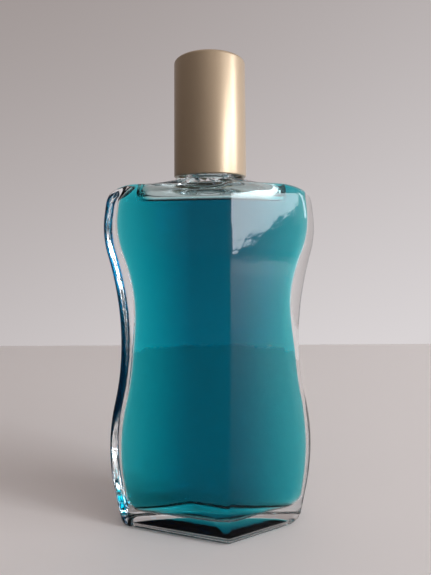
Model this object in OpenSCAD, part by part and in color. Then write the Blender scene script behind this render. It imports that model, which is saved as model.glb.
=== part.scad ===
// Glass lotion bottle with a waved outline, a screw finish, a pour plug and a tall screw cap.
// Millimetres. The neck axis is Z, the base stands on z = 0 and the front faces -Y.
// The body is one loft: a six-sided section, the same after half a turn, follows a waved outline.

/* [Front outline] */
// Half width at the base
base_half_w = 33.1; // [30:0.1:35]
// Half width where the two lower flanks would meet
belly_half_w = 38.7; // [36:0.1:41]
// Height of that meeting point
belly_z = 28.4; // [22:0.1:34]
// Radius that rounds the belly
belly_r = 79; // [40:1:90]
// Half width where the two flanks of the waist would meet
waist_half_w = 27.7; // [25:0.1:31]
// Height of that meeting point
waist_z = 72.7; // [64:0.1:80]
// Radius that rounds the waist
waist_r = 100; // [50:1:120]
// Half width where the two upper flanks would meet
chest_half_w = 36.4; // [34:0.1:39]
// Height of that meeting point
chest_z = 105.5; // [98:0.1:108]
// Radius that rounds the chest
chest_r = 29.3; // [15:0.1:40]
// Half width where the upper flank would meet the top
top_half_w = 33.4; // [31:0.1:35]
// Height of the glass body, without its neck
body_h = 121.9; // [118:0.1:130]
// Radius of the upper corners
corner_r = 8.2; // [5:0.1:9]

/* [Cross-section] */
// Distance of the front ridge to the right of the neck axis
ridge_x = 5.9; // [3:0.1:9]
// Distance of the front ridge in front of the neck axis
ridge_y = 16.9; // [15:0.1:19]
// Angle by which the long panel falls back from the ridge
long_fall = 14; // [10:0.1:15]
// Angle by which the short panel falls back from the ridge
short_fall = 22.7; // [20:0.1:26]
// Radius along the ridge
ridge_r = 2; // [1:0.1:4]
// Radius between the long panel and the side
long_edge_r = 3.8; // [1.5:0.1:6]
// Radius between the short panel and the side
short_edge_r = 9.3; // [4:0.1:10]
// Radius round the heel
heel_r = 2.5; // [1:0.1:4]
// Radius round the shoulder
shoulder_r = 4; // [2:0.1:5]
// Smallest radius of an upright edge where a face is moved inwards
inner_edge_r = 0.8; // [0.5:0.1:2]

/* [Glass] */
// Thickness of the walls behind the panels
wall = 2.3; // [1.8:0.1:3.2]
// Thickness of the walls along the waved sides
side_wall = 4; // [2.4:0.1:4.6]
// How much thicker the sides are on the flank above the waist
flank_extra = 1.6; // [0:0.1:3]
// Height where they are thickest
flank_z = 88; // [80:0.5:96]
// How far below and above that height they get thicker
flank_l = 28; // [16:0.5:34]
// Thickness of the base in its middle
base_t = 5.4; // [4:0.1:9]
// Thickness of the glass above the air space
crown_t = 2.6; // [2:0.1:4]
// How far the rounding of the hollow's floor comes in from the walls
floor_in = 5; // [2:0.1:7]
// How high the rounding of the hollow's floor comes up the walls
floor_rise = 8; // [2:0.1:10]
// Radius where the hollow's ceiling meets the walls behind the panels
ceiling_r = 3; // [1.5:0.1:5]
// Least radius of the hollow's upright edges
hollow_edge_r = 5.2; // [3:0.1:7]
// Least radius of the hollow along the ridges
hollow_ridge_r = 4; // [2:0.1:6]
// Depth of the push-up under the base
push_up = 0.8; // [0.3:0.1:2]
// Width of the ring that the bottle stands on
bearing_w = 3; // [2:0.1:5]

/* [Neck finish] */
// Outside diameter of the neck
neck_d = 15.8; // [15.2:0.1:16.2]
// Diameter of the bore
bore_d = 9.5; // [8.5:0.1:10.5]
// Height of the neck above the body
finish_h = 15.2; // [14:0.1:18]
// Rise of the body's top to the neck's root
crown_rise = 0.4; // [0.2:0.1:1]
// Radius at the neck's root
root_r = 3.2; // [1.5:0.1:3.4]
// Radius round the lip
lip_r = 0.7; // [0.3:0.1:1]
// Height of the transfer bead
bead_h = 1.4; // [1:0.1:1.5]
// How far the bead stands out of the neck
bead_out = 0.95; // [0.5:0.05:1]

/* [Screw thread] */
// Rise of the thread in one turn
pitch = 3.175; // [3:0.005:3.4]
// How far the thread stands out of the neck
thread_out = 1; // [0.8:0.05:1.1]
// Width of the thread at the neck
thread_root_w = 1.9; // [1.6:0.05:2]
// Width of the thread's crest
thread_crest_w = 0.9; // [0.6:0.05:1]
// Turns of thread on the neck
thread_turns = 1.75; // [1:0.25:2]
// Distance from the lip down to the thread's upper end
thread_top_gap = 2.5; // [2:0.1:3]
// Turns of thread in the cap
cap_thread_turns = 1.5; // [1:0.25:1.75]
// Width of the cap's thread at its root
cap_thread_root_w = 1.4; // [1:0.05:1.5]
// Width of the cap's thread at its crest
cap_thread_crest_w = 0.7; // [0.5:0.05:0.9]
// Clearance between the neck and what turns round it
thread_gap = 0.3; // [0.25:0.01:0.35]

/* [Pour plug] */
// Length of the plug in the bore
plug_l = 9; // [6:0.1:12]
// Diameter of the flange on the lip
flange_d = 13.2; // [11.5:0.1:14]
// Thickness of the flange
flange_t = 0.8; // [0.5:0.1:1.2]
// Diameter of the well in the plug
well_d = 6.6; // [5:0.1:7]
// Thickness of the well's floor
plug_floor_t = 1; // [0.6:0.1:1.5]
// Diameter of the pouring hole
orifice_d = 2.6; // [1.5:0.1:3.5]
// How far the sealing beads stand out of the plug
plug_bead_out = 0.25; // [0.1:0.05:0.3]
// Number of sealing beads
plug_beads = 3; // [2:1:4]
// Clearance between the sealing beads and the bore
plug_gap = 0.03; // [0.02:0.01:0.05]

/* [Cap] */
// Gap between the neck's root and the cap's lower edge
cap_gap = 2.1; // [1.5:0.1:3]
// Height of the cap
cap_h = 36.4; // [28:0.1:45]
// Outside diameter of the cap's lower edge
cap_d = 24.3; // [23.8:0.1:27]
// Taper of the cap's outside, on each side
cap_draft = 1.04; // [0.3:0.01:1.4]
// Radius round the cap's top edge
cap_edge_r = 0.9; // [0.4:0.1:2]
// Thickness of the cap's top
cap_roof_t = 1.4; // [1:0.1:2.5]
// Wall of the cap above the insert
cap_wall = 1.5; // [1.2:0.1:2]
// Wall of the insert outside its thread
insert_wall = 1.25; // [1:0.05:1.4]
// Thickness of the insert's top
insert_top_t = 1.4; // [1:0.1:2]
// Height of the insert's mouth above the cap's lower edge
insert_recess = 0.8; // [0.4:0.1:1.5]
// How far the drive ribs stand out of the insert
drive_rib_out = 0.32; // [0.2:0.01:0.4]
// Width of a drive rib
drive_rib_w = 0.8; // [0.5:0.1:1.2]
// Number of drive ribs
drive_ribs = 16; // [8:1:24]
// Clearance between the drive ribs and the cap
insert_gap = 0.03; // [0.02:0.01:0.05]
// Width of the cap's ledge that the insert seats against
ledge_w = 0.5; // [0.4:0.1:0.8]
// Bevel at the mouths of the cap and the insert
mouth_bevel = 0.3; // [0.1:0.05:0.4]

/* [Liner] */
// Thickness of the sealing liner
liner_t = 1; // [0.6:0.1:1.6]

/* [Lotion] */
// Height of the air space, a flat bubble under the ceiling
air_h = 3.2; // [2:0.1:6]
// Half length of the bubble where it meets the ceiling
bubble_half_l = 25; // [16:0.5:27]
// Distance from the outside of the panels to the bubble where it meets the ceiling
bubble_inset = 5.5; // [5:0.1:7]
// How far the bubble bulges out below the ceiling
bubble_bulge = 1.6; // [0.5:0.1:1.8]
// Radius of the bubble's corners seen from above, where its ends are long enough
bubble_r = 9; // [5:0.5:9]
// Clearance between the lotion and the glass
lotion_gap = 0.05; // [0.03:0.01:0.1]

/* [Hidden] */
$fn = 96;

// Colours
glass_tint = [0.80, 0.92, 0.93, 0.4];
lotion_teal = [0.05, 0.50, 0.56];
plug_white = [0.93, 0.94, 0.93];
liner_white = [0.97, 0.97, 0.95];
insert_ivory = [0.86, 0.83, 0.76];
champagne = [0.72, 0.65, 0.53];

// Steps of the curves that become facets
ridge_steps = 4;
edge_steps = 6;
round_steps = 4;
blend_steps = 3;
rim_steps = 6;
wave_steps = 9;
thread_steps = 28;
thread_fade = 5;
arc_steps = 6;
ring_gap = 0.3;
side_fit = 0.99;
embed = 0.4;

// Heights along the neck axis
root_z = body_h + crown_rise;
lip_z = root_z + finish_h;
flange_top_z = lip_z + flange_t;
liner_top_z = flange_top_z + liner_t;
insert_top_z = liner_top_z + insert_top_t;
cap_low_z = root_z + cap_gap;
cap_top_z = cap_low_z + cap_h;
insert_low_z = cap_low_z + insert_recess;
ceiling_z = body_h - crown_t;
fill_z = ceiling_z - air_h;

// Radii of what turns or fits round the neck axis
neck_r = neck_d / 2;
bore_r = bore_d / 2;
thread_r = neck_r + thread_out;
insert_bore_r = thread_r + thread_gap;
insert_r = insert_bore_r + insert_wall;
drive_r = insert_r + drive_rib_out;
cap_bore_r = drive_r + insert_gap;
cap_r = cap_d / 2;
plug_r = bore_r - plug_gap - plug_bead_out;

// Heights of the thread's middle at its lower ends, half a pitch apart between neck and cap
thread_z = lip_z - thread_top_gap - pitch * thread_turns;
cap_thread_z = thread_z - pitch / 2;

// Small functions on points and angles
function unit(v) = v / norm(v);
function polar(r, a) = [r * cos(a), r * sin(a)];
function turn_between(a, b) = (b - a + 540) % 360 - 180;
function arc(centre, r, a, b, n) = [for (k = [0:n]) centre + polar(r, a + (b - a) * k / n)];

// Where two lines meet, each given by its normal's angle and its distance from the axis
function meet(a1, d1, a2, d2) =
    [d1 * sin(a2) - d2 * sin(a1), d2 * cos(a1) - d1 * cos(a2)] / sin(a2 - a1);

// The right side of the front outline, as [half width, height], before its corners are rounded
outline_corners = [
    [base_half_w, 0],
    [belly_half_w, belly_z],
    [waist_half_w, waist_z],
    [chest_half_w, chest_z],
    [top_half_w, body_h],
    [neck_r, root_z]
];
outline_radii = [0, belly_r, waist_r, chest_r, corner_r, 0];
outline_last = len(outline_corners) - 1;

// Half of the angle at a corner of the outline, and the length that its rounding takes
function half_angle(i) = let (
    u = unit(outline_corners[i - 1] - outline_corners[i]),
    v = unit(outline_corners[i + 1] - outline_corners[i])
) acos(u * v) / 2;
function wanted_length(i) =
    i == 0 || i == outline_last ? 0 : outline_radii[i] / tan(half_angle(i));
function flank(i) = norm(outline_corners[i + 1] - outline_corners[i]);
function share(i) = min(1, flank(i) / (wanted_length(i) + wanted_length(i + 1)));
function fitted_r(i) = outline_radii[i] * min(share(i - 1), share(i));

function rounded_corner(i, n) = let (
    p = outline_corners[i],
    u = unit(outline_corners[i - 1] - p),
    v = unit(outline_corners[i + 1] - p),
    r = fitted_r(i),
    centre = p + unit(u + v) * r / sin(half_angle(i)),
    from_c = p + u * r / tan(half_angle(i)) - centre,
    to_c = p + v * r / tan(half_angle(i)) - centre,
    a = atan2(from_c.y, from_c.x),
    b = a + turn_between(a, atan2(to_c.y, to_c.x))
) arc(centre, r, a, b, n);

outline = concat(
    [outline_corners[0]],
    [for (i = [1:outline_last - 1]) each rounded_corner(i, wave_steps)]
);
outline_by_height = [for (p = outline) [p.y, p.x]];
function half_w(z) = lookup(z, outline_by_height);

// The six faces of the section: two front panels, a side, two back panels, the other side
panel_normals = [-90 - long_fall, -90 + short_fall, 0];
face_normals = concat(panel_normals, [for (a = panel_normals) a + 180], [panel_normals[0] + 360]);
ridge = [ridge_x, -ridge_y];
long_d = ridge * polar(1, panel_normals[0]);
short_d = ridge * polar(1, panel_normals[1]);

// Length of a side face between the two panels beside it, with every face moved inwards by an inset
function side_l(w, inset) =
    meet(face_normals[2], w - inset, face_normals[3], long_d - inset).y
    - meet(face_normals[1], short_d - inset, face_normals[2], w - inset).y;
function edge_l(r, fall) = r * tan((90 - fall) / 2);

// The section's points at a half width, with every face moved inwards by an inset. The radii of the ridges,
// short edges and long edges shrink with the inset, down to the least ones, and stay within the side face.
outside_least = [inner_edge_r, inner_edge_r, inner_edge_r];
hollow_least = [hollow_ridge_r, hollow_edge_r, hollow_edge_r];
bubble_least = [hollow_ridge_r, bubble_r, bubble_r];
function section(w, inset, least) = let (
    d = [long_d, short_d, w, long_d, short_d, w, long_d],
    full = [ridge_r, short_edge_r, long_edge_r],
    wanted = [for (i = [0:2]) max(full[i] - inset, least[i])],
    taken = edge_l(wanted[1], short_fall) + edge_l(wanted[2], long_fall),
    fit = min(1, side_fit * side_l(w, inset) / taken),
    radii = [wanted[0], wanted[1] * fit, wanted[2] * fit],
    steps = [ridge_steps, edge_steps, edge_steps]
) [for (i = [0:5]) let (
    r = radii[i % 3],
    c = meet(face_normals[i], d[i] - inset - r, face_normals[i + 1], d[i + 1] - inset - r)
) each arc(c, r, face_normals[i], face_normals[i + 1], steps[i % 3])];

// Half width of the hollow's own outline: the sides are thickest on the flank above the waist
function hollow_w(z) = let (near = min(1, abs(z - flank_z) / flank_l))
    half_w(z) - (side_wall - wall) - flank_extra * pow(cos(90 * near), 2);

// Rings of the lofts: of the outside, of the hollow and of the bubble's rim
function at_height(points, z) = [for (p = points) [p.x, p.y, z]];
function outer_ring(z, inset) = at_height(section(half_w(z), inset, outside_least), z);
function hollow_ring(z, inset) = at_height(section(hollow_w(z), inset, hollow_least), z);
function bubble_ring(z, bulge) =
    at_height(section(bubble_half_l + bubble_inset, bubble_inset - bulge, bubble_least), z);

// Angles along a rounded edge, and the heights of the waved wall between two heights
quarter = [for (k = [0:round_steps]) 90 * k / round_steps];
function wall_heights(z1, z2) = [for (p = outline) if (p.y > z1 + ring_gap && p.y < z2 - ring_gap) p.y];

// Rings of the hollow, or of what fills it, from the floor to the end of the ceiling's rounding
function hollow_rings(gap) = let (inset = wall + gap, low_z = base_t + gap, top_z = ceiling_z - gap) concat(
    [for (a = quarter) hollow_ring(low_z + floor_rise * (1 - cos(a)), inset + floor_in * (1 - sin(a)))],
    [for (z = wall_heights(low_z + floor_rise, top_z - ceiling_r)) hollow_ring(z, inset)],
    [for (a = quarter) hollow_ring(top_z - ceiling_r + ceiling_r * sin(a), inset + ceiling_r * (1 - cos(a)))]
);

// Rings that turn the last ring into a circle round the neck axis
function crown_rings(last, r, rise) = [
    for (k = [1:blend_steps]) let (t = k / blend_steps)
        [for (p = last) let (q = unit([p.x, p.y]) * r)
            [p.x + (q.x - p.x) * t, p.y + (q.y - p.y) * t, p.z + rise * t]]
];

// A solid through rings of equal length, from the lowest up, each counter-clockwise
module loft(rings) {
    n = len(rings[0]);
    m = len(rings);
    polyhedron(
        points = [for (r = rings) each r],
        faces = concat(
            [[for (i = [0:n - 1]) i]],
            [for (k = [0:m - 2], i = [0:n - 1]) let (a = k * n + i, b = k * n + (i + 1) % n)
                [a, a + n, b + n]],
            [for (k = [0:m - 2], i = [0:n - 1]) let (a = k * n + i, b = k * n + (i + 1) % n)
                [a, b + n, b]],
            [[for (i = [n - 1:-1:0]) (m - 1) * n + i]]
        ),
        convexity = 6
    );
}

// A helical ridge of trapezoid section: root and crest radii, widths there, turns and start height
module helix_ridge(root, crest, root_w, crest_w, turns, z) {
    n = round(turns * thread_steps);
    rows = [for (k = [0:n]) let (
        a = 360 * k / thread_steps,
        h = z + pitch * k / thread_steps,
        lift = min(1, (k + 1) / thread_fade, (n - k + 1) / thread_fade),
        top = root + (crest - root) * lift
    ) [
        [root * cos(a), root * sin(a), h - root_w / 2],
        [top * cos(a), top * sin(a), h - crest_w / 2],
        [top * cos(a), top * sin(a), h + crest_w / 2],
        [root * cos(a), root * sin(a), h + root_w / 2]
    ]];
    inward = crest < root;
    sides = [for (k = [0:n - 1], i = [0:3]) let (a = 4 * k + i, b = 4 * k + (i + 1) % 4)
        each [[a, b, b + 4], [a, b + 4, a + 4]]];
    faces = concat([[3, 2, 1, 0]], sides, [[4 * n, 4 * n + 1, 4 * n + 2, 4 * n + 3]]);
    polyhedron(
        points = [for (r = rows) each r],
        faces = inward ? [for (f = faces) [for (i = [len(f) - 1:-1:0]) f[i]]] : faces,
        convexity = 6
    );
}

// The body's outside, from the push-up in its base to the neck's root
module body_outside() {
    stand = heel_r + bearing_w;
    shoulder_z = body_h - shoulder_r;
    shoulder = [for (a = quarter) outer_ring(shoulder_z + shoulder_r * sin(a), shoulder_r * (1 - cos(a)))];
    loft(concat(
        [outer_ring(push_up, stand + 2 * push_up), outer_ring(0, stand)],
        [for (a = quarter) outer_ring(heel_r * (1 - cos(a)), heel_r * (1 - sin(a)))],
        [for (z = wall_heights(heel_r, shoulder_z)) outer_ring(z, 0)],
        shoulder,
        crown_rings(shoulder[round_steps], neck_r + root_r + embed, crown_rise)
    ));
}

// The hollow: up from its floor to its ceiling, and by a funnel into the bore
module body_hollow() {
    rings = hollow_rings(0);
    loft(concat(rings, crown_rings(rings[len(rings) - 1], bore_r + embed, crown_rise)));
}

// The neck, with its root, transfer bead and rounded lip
module neck() {
    bead_mid = root_z + root_r + ring_gap + bead_h / 2;
    bead_points = [for (k = [0:arc_steps]) let (a = -90 + 180 * k / arc_steps)
        [neck_r + bead_out * cos(a), bead_mid + bead_h / 2 * sin(a)]];
    rotate_extrude()
        polygon(concat(
            [[0, ceiling_z], [neck_r + root_r, ceiling_z]],
            [for (k = [0:arc_steps]) [neck_r + root_r, root_z + root_r] + polar(root_r, -90 - 90 * k / arc_steps)],
            bead_points,
            arc([neck_r - lip_r, lip_z - lip_r], lip_r, 0, 90, arc_steps),
            [[0, lip_z]]
        ));
}

module glass_bottle() {
    color(glass_tint)
        difference() {
            union() {
                body_outside();
                neck();
                helix_ridge(neck_r - embed, thread_r, thread_root_w, thread_crest_w, thread_turns, thread_z);
            }
            body_hollow();
            translate([0, 0, ceiling_z])
                cylinder(r = bore_r, h = lip_z - ceiling_z + embed);
        }
}

// The lotion fills the hollow and wets its ceiling all round the bubble, whose rim turns down to the level
module lotion() {
    top_z = ceiling_z - lotion_gap;
    middle = (top_z + fill_z) / 2;
    color(lotion_teal)
        loft(concat(
            hollow_rings(lotion_gap),
            [for (k = [0:rim_steps]) let (a = 90 - 180 * k / rim_steps)
                bubble_ring(middle + (top_z - middle) * sin(a), bubble_bulge * cos(a))]
        ));
}

// A cup with a flange on the lip, sealing beads against the bore and one small pouring hole
module pour_plug() {
    low_z = lip_z - plug_l;
    bead_step = plug_l / (plug_beads + 1);
    well_z = low_z + plug_floor_t;
    color(plug_white)
        difference() {
            union() {
                translate([0, 0, low_z])
                    cylinder(r = plug_r, h = plug_l);
                translate([0, 0, lip_z])
                    cylinder(d = flange_d, h = flange_t);
                for (k = [1:plug_beads])
                    translate([0, 0, low_z + k * bead_step])
                        plug_bead();
            }
            translate([0, 0, well_z])
                cylinder(d = well_d, h = flange_top_z - well_z + embed);
            translate([0, 0, low_z - embed])
                cylinder(d = orifice_d, h = plug_floor_t + 2 * embed);
        }
}

module plug_bead() {
    rotate_extrude()
        polygon([
            [0, -2 * plug_bead_out],
            [plug_r, -2 * plug_bead_out],
            [plug_r + plug_bead_out, -plug_bead_out / 2],
            [plug_r + plug_bead_out, plug_bead_out / 2],
            [plug_r, 2 * plug_bead_out],
            [0, 2 * plug_bead_out]
        ]);
}

// A foam disc that the cap presses on the plug's flange
module seal_liner() {
    color(liner_white)
        translate([0, 0, flange_top_z])
            cylinder(r = thread_r, h = liner_t);
}

// The threaded inner cap, gripped in the cap by its drive ribs
module cap_insert() {
    h = insert_top_z - insert_low_z;
    bore_h = liner_top_z - insert_low_z;
    color(insert_ivory) {
        difference() {
            union() {
                translate([0, 0, insert_low_z])
                    cylinder(r = insert_r, h = h);
                for (k = [0:drive_ribs - 1])
                    rotate(360 * k / drive_ribs)
                        drive_rib(h);
            }
            translate([0, 0, insert_low_z - embed])
                cylinder(r = insert_bore_r, h = bore_h + embed);
            translate([0, 0, insert_low_z - embed])
                cylinder(r1 = insert_bore_r + mouth_bevel + embed, r2 = insert_bore_r, h = mouth_bevel + embed);
        }
        helix_ridge(
            insert_bore_r + embed, neck_r + thread_gap,
            cap_thread_root_w, cap_thread_crest_w, cap_thread_turns, cap_thread_z
        );
    }
}

// One drive rib: a bar cut to the round of the cap's bore
module drive_rib(h) {
    intersection() {
        translate([insert_r - embed, -drive_rib_w / 2, insert_low_z])
            cube([drive_rib_out + 2 * embed, drive_rib_w, h]);
        translate([0, 0, insert_low_z])
            cylinder(r = drive_r, h = h);
    }
}

// The tall outer cap: tapered outside, stepped inside so that the insert seats on a ledge
module cap_shell() {
    top_r = cap_r - (cap_h - cap_edge_r) * tan(cap_draft);
    hollow_low_r = cap_bore_r - ledge_w;
    hollow_top_r = top_r - cap_wall;
    roof_z = cap_top_z - cap_roof_t;
    color(champagne)
        rotate_extrude()
            polygon(concat(
                [[cap_bore_r + mouth_bevel, cap_low_z], [cap_r, cap_low_z]],
                arc([top_r - cap_edge_r, cap_top_z - cap_edge_r], cap_edge_r, 0, 90, arc_steps),
                [
                    [0, cap_top_z],
                    [0, roof_z],
                    [hollow_top_r, roof_z],
                    [hollow_low_r, insert_top_z],
                    [cap_bore_r, insert_top_z],
                    [cap_bore_r, cap_low_z + mouth_bevel]
                ]
            ));
}

glass_bottle();
lotion();
pour_plug();
seal_liner();
cap_insert();
cap_shell();
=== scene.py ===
"""A flat glass lotion bottle with waved sides, teal lotion and a tall champagne screw cap.

Every size below is in millimetres and in the frame's own axes: +Z up the neck, the front facing -Y.
The meshes are scaled to metres when they are made.
"""
import math

import bpy
import numpy as np
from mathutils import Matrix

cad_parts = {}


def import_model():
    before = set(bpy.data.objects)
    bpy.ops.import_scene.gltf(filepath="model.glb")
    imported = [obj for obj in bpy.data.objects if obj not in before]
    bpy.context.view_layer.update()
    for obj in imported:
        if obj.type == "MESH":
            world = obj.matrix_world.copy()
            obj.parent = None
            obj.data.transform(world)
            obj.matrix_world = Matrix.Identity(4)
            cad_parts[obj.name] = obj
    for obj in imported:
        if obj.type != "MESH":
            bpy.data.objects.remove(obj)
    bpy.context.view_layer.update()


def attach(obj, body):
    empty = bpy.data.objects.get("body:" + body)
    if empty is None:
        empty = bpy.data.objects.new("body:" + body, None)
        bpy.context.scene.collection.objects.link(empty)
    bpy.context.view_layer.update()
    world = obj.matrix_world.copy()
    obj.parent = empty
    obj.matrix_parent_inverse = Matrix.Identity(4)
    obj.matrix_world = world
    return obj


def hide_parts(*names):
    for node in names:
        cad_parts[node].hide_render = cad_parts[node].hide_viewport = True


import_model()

MM = 0.001

# ---------------------------------------------------------------- sizes of the glass body

BASE_HALF_W = 33.1
BODY_H = 121.9
NECK_R = 7.9
CROWN_RISE = 0.4
ROOT_Z = BODY_H + CROWN_RISE
# The crown rises this much more beside the neck, in a curve of this power
DOME_RISE = 1.1
DOME_POWER = 2.2
# The front outline's corners, as half width and height, and the radii that round them
OUTLINE_CORNERS = (
    (BASE_HALF_W, 0), (38.7, 28.4), (27.7, 72.7), (36.4, 105.5), (33.4, BODY_H), (NECK_R, ROOT_Z),
)
OUTLINE_RADII = (0, 79, 100, 29.3, 8.2, 0)

# The section: where the front ridge stands, and how many degrees each panel falls back from it
RIDGE = (5.9, -16.9)
LONG_FALL = 14
SHORT_FALL = 22.7
RIDGE_R = 2.12
LONG_EDGE_R = 3.8
SHORT_EDGE_R = 9.3
HEEL_R = 2.5
SHOULDER_R = 4
# Rounded edges keep at least this radius, however far inwards the section moves
LEAST_EDGE_R = 0.8
# The largest share of a side face that its two rounded edges may take
SIDE_FIT = 0.99

# The hollow: the glass round it is thickest at the sides, and there on the flank above the waist
WALL = 2.3
SIDE_WALL = 4
FLANK_EXTRA = 1.6
FLANK_Z = 88
FLANK_L = 28
BASE_T = 5.4
CROWN_T = 1.8
# Its rounding at the floor, across and up, and at the ceiling
FLOOR_IN = 4
FLOOR_RISE = 4.5
CEILING_R = 3
HOLLOW_EDGE_R = 5.2
HOLLOW_RIDGE_R = 4
FLOOR_RIDGE_R = 16
FUNNEL_R = 1.2
CEILING_Z = BODY_H - CROWN_T
# How much thinner the hollow gets along its short panels toward the sides, and toward its floor
SHORT_PANEL_THIN = 0.8
LOW_THIN = 0.2

# The underside: a bearing ring round a domed push-up
BEARING_W = 1.2
PUSH_RUN = 1.6
PUSH_UP = 1.0
PUSH_DOME = 2.2

# ---------------------------------------------------------------- sizes of the neck and its thread

BORE_R = 4.75
FINISH_H = 15.2
NECK_ROOT_R = 3.2
LIP_R = 0.7
BEAD_H = 1.4
BEAD_OUT = 0.95
BEAD_GAP = 0.3
BEAD_LOW_Z = ROOT_Z + NECK_ROOT_R + BEAD_GAP
LIP_Z = ROOT_Z + FINISH_H
PITCH = 3.175
THREAD_OUT = 1
THREAD_ROOT_W = 1.9
THREAD_CREST_W = 0.9
THREAD_TURNS = 1.75
THREAD_TO_LIP = 2.5
THREAD_Z = LIP_Z - THREAD_TO_LIP - PITCH * THREAD_TURNS
THREAD_FADE = 0.2
CAP_THREAD_TURNS = 1.5
CAP_THREAD_ROOT_W = 1.4
CAP_THREAD_CREST_W = 0.7
CAP_THREAD_Z = THREAD_Z - PITCH / 2
THREAD_GAP = 0.3
# Points this near to a wall's radius are moved by its thread
THREAD_REACH = 0.05

# ---------------------------------------------------------------- sizes of the closure

# Room left where one piece is pushed into another
FIT_GAP = 0.03
FLANGE_R = 6.6
FLANGE_T = 0.8
PLUG_L = 9
WELL_R = 3.3
PLUG_FLOOR_T = 1
ORIFICE_R = 1.3
PLUG_BEAD_OUT = 0.25
PLUG_BEADS = 3
PLUG_R = BORE_R - FIT_GAP - PLUG_BEAD_OUT
LIP_CLEAR = 0.02
FLANGE_TOP_Z = LIP_Z + FLANGE_T
LINER_T = 1
LINER_R = NECK_R + THREAD_OUT
LINER_TOP_Z = FLANGE_TOP_Z + LINER_T
INSERT_ROOF_T = 1.4
INSERT_TOP_Z = LINER_TOP_Z + INSERT_ROOF_T
INSERT_WALL = 1.25
INSERT_BORE_R = LINER_R + THREAD_GAP
INSERT_R = INSERT_BORE_R + INSERT_WALL
DRIVE_RIBS = 16
DRIVE_RIB_OUT = 0.32
DRIVE_RIB_W = 0.8
DRIVE_RIB_END = 0.4
CAP_GAP = 2.1
CAP_LOW_Z = ROOT_Z + CAP_GAP
CAP_H = 36.4
CAP_TOP_Z = CAP_LOW_Z + CAP_H
CAP_R = 12.15
CAP_DRAFT = 1.04
CAP_EDGE_R = 0.9
CAP_LOW_EDGE_R = 0.5
CAP_ROOF_R = 1.2
CAP_MOUTH_R = 0.15
CAP_WALL = 1.5
CAP_ROOF_T = 1.4
CAP_BORE_R = INSERT_R + DRIVE_RIB_OUT + FIT_GAP
LEDGE_W = 0.5
INSERT_SET_IN = 0.8
INSERT_LOW_Z = CAP_LOW_Z + INSERT_SET_IN
MOUTH_BEVEL = 0.3
# Edge radii of the moulded pieces
SHARP_R = 0.1
INSERT_LOW_EDGE_R = 0.2
INSERT_EDGE_R = 0.3
PLUG_TIP_R = 0.4
PLUG_BEAD_HALF_H = 0.5
FLANGE_EDGE_R = 0.3
WELL_MOUTH_R = 0.4
WELL_FLOOR_R = 0.6
LINER_EDGE_R = 0.15

# ---------------------------------------------------------------- sizes of the lotion

AIR_H = 4
FILL_Z = CEILING_Z - AIR_H
LOTION_GAP = 0.05
# The air space is a flat bubble under the ceiling: the lotion wets the ceiling all round it
BUBBLE_HALF_L = 22.5
BUBBLE_INSET = 5.5
BUBBLE_BULGE = 1.6
BUBBLE_R = 9
BUBBLE_FILM = 0.5
BUBBLE_TOP_ANGLE = 80
BUBBLE_BULGE_POWER = 0.8
MENISCUS_R = 1.3
MENISCUS_DIP = 0.02

# ---------------------------------------------------------------- how finely curves are divided

RIDGE_STEPS = 8
EDGE_STEPS = 20
ROUND_STEPS = 9
SMALL_ROUND_STEPS = 5
TINY_ROUND_STEPS = 4
WAVE_STEPS = 32
FLANK_STEPS = 5
CROWN_STEPS = 10
BEAD_STEPS = 12
PLUG_BEAD_STEPS = 8
RIM_STEPS = 23
NECK_RINGS = 70
BORE_RINGS = 3
INSERT_RINGS = 96
LATHE_POINTS = 160
# Rings on flat and domed discs, as shares of the way from the middle to the rim
DISC_SHARES = (0.3, 0.6, 0.85)
LEVEL_SHARES = (0.8, 0.5, 0.2)
DOME_SHARES = (0.1, 0.25, 0.4, 0.55, 0.7, 0.85, 0.95)
# How far the steep wall of the push-up has come down at each ring between its top and its foot
STEEP_FALL = (0.1, 0.5, 0.9)
# Rings of the waved wall keep at least this far from the rounding above and below it
RING_GAP = 0.2


# ---------------------------------------------------------------- points and rings

def polar(r, degrees):
    """A point, or points, at a radius and an angle."""
    a = np.radians(degrees)
    return np.stack((r * np.cos(a), r * np.sin(a)), axis=-1)


def arc(centre, r, start, end, steps):
    """Points along an arc between two angles in degrees."""
    return np.asarray(centre) + polar(r, np.linspace(start, end, steps + 1))


def turn_between(a, b):
    """The signed turn in degrees from one angle to another, the short way."""
    return (b - a + 540) % 360 - 180


def rounded_path(corners, radii, arc_steps, line_steps):
    """A polyline whose corners are rounded by tangent arcs, each as large as its two lines allow."""
    corners = [np.array(c, float) for c in corners]
    lines = [b - a for a, b in zip(corners, corners[1:])]
    wanted = [0.0]
    for before, after, r in zip(lines, lines[1:], radii[1:-1]):
        half = math.acos(np.dot(-before, after) / np.linalg.norm(before) / np.linalg.norm(after)) / 2
        wanted.append(r / math.tan(half))
    wanted.append(0.0)
    share = [min(1, np.linalg.norm(v) / (a + b)) for v, a, b in zip(lines, wanted, wanted[1:])]
    path = [corners[0][None]]
    for i in range(1, len(corners) - 1):
        u = -lines[i - 1] / np.linalg.norm(lines[i - 1])
        v = lines[i] / np.linalg.norm(lines[i])
        fit = min(share[i - 1], share[i])
        length = wanted[i] * fit
        r = radii[i] * fit
        middle = (u + v) / np.linalg.norm(u + v)
        centre = corners[i] + middle * math.hypot(r, length)
        first = corners[i] + u * length - centre
        last = corners[i] + v * length - centre
        start = math.degrees(math.atan2(first[1], first[0]))
        end = start + turn_between(start, math.degrees(math.atan2(last[1], last[0])))
        lead = np.linspace(path[-1][-1], centre + first, line_steps + 1)[1:-1]
        path += [lead, arc(centre, r, start, end, arc_steps)]
    return np.concatenate(path)


OUTLINE = rounded_path(OUTLINE_CORNERS, OUTLINE_RADII, WAVE_STEPS, FLANK_STEPS)


def half_w(z):
    """Half width of the body's front outline at a height."""
    return float(np.interp(z, OUTLINE[:, 1], OUTLINE[:, 0]))


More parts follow.
